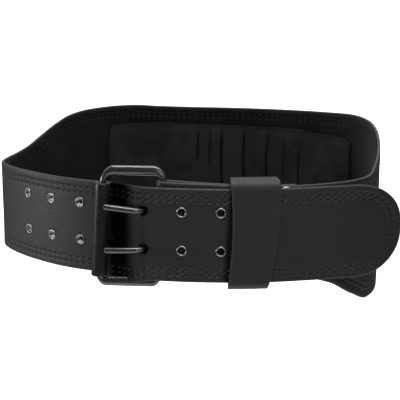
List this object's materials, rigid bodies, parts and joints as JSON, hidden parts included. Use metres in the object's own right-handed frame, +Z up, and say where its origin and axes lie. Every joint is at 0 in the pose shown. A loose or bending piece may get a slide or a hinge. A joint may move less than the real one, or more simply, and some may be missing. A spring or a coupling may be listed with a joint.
{
  "type": "weightlifting belt",
  "caption": "Wide-backed padded leather lifting belt, tapered to a narrower front, closed by a two-prong roller buckle with a leather keeper loop and eyelet rows.",
  "frame": {"origin": "centre of the belt's bounding box on the floor plane", "axes": "+X to the tail tip's side along the front, +Y from the buckle toward the wide back, +Z up"},
  "size_m": [0.4008, 0.3284, 0.1546],
  "materials": {
    "grain_leather": "black grain leather, low sheen",
    "lining_suede": "black split suede, dull",
    "pad_suede": "black suede over foam, dull",
    "black_steel": "satin black coating",
    "nickel": "bright nickel plate"
  },
  "bodies": {
    "root": {"belt_leather": "grain_leather", "belt_lining": "lining_suede", "lumbar_pad": "pad_suede", "buckle_frame": "black_steel", "buckle_roller": "black_steel", "prong_upper": "black_steel", "prong_lower": "black_steel", "keeper_loop": "grain_leather", "rivet_upper": "nickel", "rivet_lower": "nickel", "eyelet_upper_1": "nickel", "eyelet_upper_2": "nickel", "eyelet_upper_3": "nickel", "eyelet_upper_4": "nickel", "eyelet_upper_5": "nickel", "eyelet_upper_6": "nickel", "eyelet_upper_7": "nickel", "eyelet_upper_8": "nickel", "eyelet_lower_1": "nickel", "eyelet_lower_2": "nickel", "eyelet_lower_3": "nickel", "eyelet_lower_4": "nickel", "eyelet_lower_5": "nickel", "eyelet_lower_6": "nickel", "eyelet_lower_7": "nickel", "eyelet_lower_8": "nickel"}
  },
  "joints": []
}
